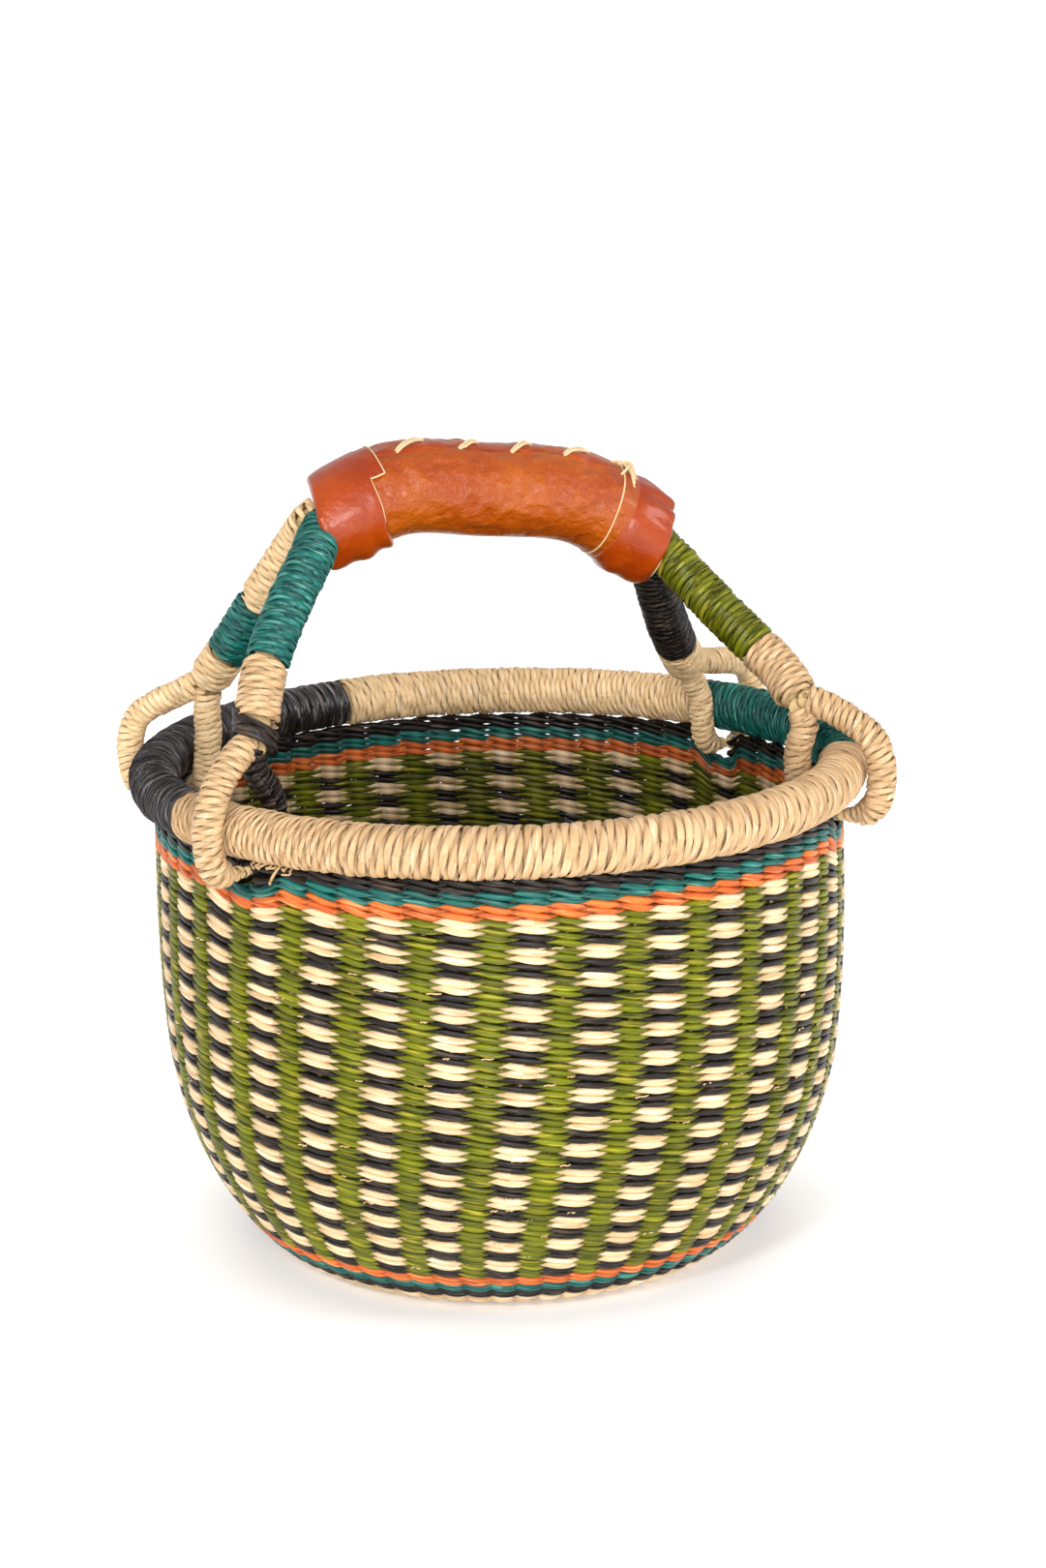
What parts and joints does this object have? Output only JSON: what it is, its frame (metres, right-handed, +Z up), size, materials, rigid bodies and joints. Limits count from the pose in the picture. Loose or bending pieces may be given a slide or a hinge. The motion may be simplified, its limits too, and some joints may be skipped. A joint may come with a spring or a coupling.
{
  "type": "bolga basket",
  "caption": "Round twined straw market basket with colour bands, a bound rim and a rocking arched handle with a leather grip.",
  "frame": {"origin": "centre of the basket's footprint, on the surface that it stands on", "axes": "+Z up, X along the handle, +X to the lower end of the grip"},
  "size_m": [0.305, 0.305, 0.3417],
  "materials": {
    "straw_natural": "satin",
    "straw_black": "satin",
    "straw_teal": "satin",
    "straw_orange": "satin",
    "straw_olive": "satin",
    "grass_core": "matte",
    "leather": "glossy",
    "leather_cuff": "glossy",
    "thong": "matte"
  },
  "bodies": {
    "basket": {"base_start": "straw_natural", "base_weave": "straw_natural", "base_band_black": "straw_black", "base_band_teal": "straw_teal", "base_band_orange": "straw_orange", "wall_weave": "straw_olive", "top_band_orange": "straw_orange", "top_band_teal": "straw_teal", "top_band_black_back": "straw_black", "top_band_black_left": "straw_black", "top_band_black_front": "straw_black", "top_band_black_right": "straw_black", "rim_core": "grass_core", "rim_binding_back_natural": "straw_natural", "rim_binding_left_black": "straw_black", "rim_binding_front_natural": "straw_natural", "rim_binding_right_teal": "straw_teal"},
    "handle": {"eye_front_left_outer": "straw_natural", "eye_front_left_inner": "straw_black", "eye_front_right_outer": "straw_natural", "eye_front_right_inner": "straw_natural", "eye_back_left_outer": "straw_natural", "eye_back_left_inner": "straw_natural", "eye_back_right_outer": "straw_natural", "eye_back_right_inner": "straw_natural", "grip_padding": "grass_core", "grip_leather": "leather", "grip_cuff_left": "leather_cuff", "grip_cuff_right": "leather_cuff", "grip_seam_welt": "leather", "grip_stitch_1": "thong", "grip_stitch_2": "thong", "grip_stitch_3": "thong", "grip_stitch_4": "thong", "grip_tie": "thong", "grip_tie_knot": "thong", "grip_tab": "leather_cuff", "bundle_front": "grass_core", "bundle_back": "grass_core", "stem_front_left_teal": "straw_teal", "stem_front_left_natural": "straw_natural", "stem_front_right_green": "straw_olive", "stem_front_right_natural": "straw_natural", "stem_back_left_cream": "straw_natural", "stem_back_left_teal": "straw_teal", "stem_back_left_natural": "straw_natural", "stem_back_right_black": "straw_black", "stem_back_right_natural": "straw_natural", "throat_band": "straw_black"}
  },
  "joints": [
    {"name": "handle_tilt", "type": "hinge", "parent": "basket", "child": "handle", "pos_m": [0, 0, 0.202], "axis": [1, 0, 0], "range_deg": [-2, 2]}
  ]
}
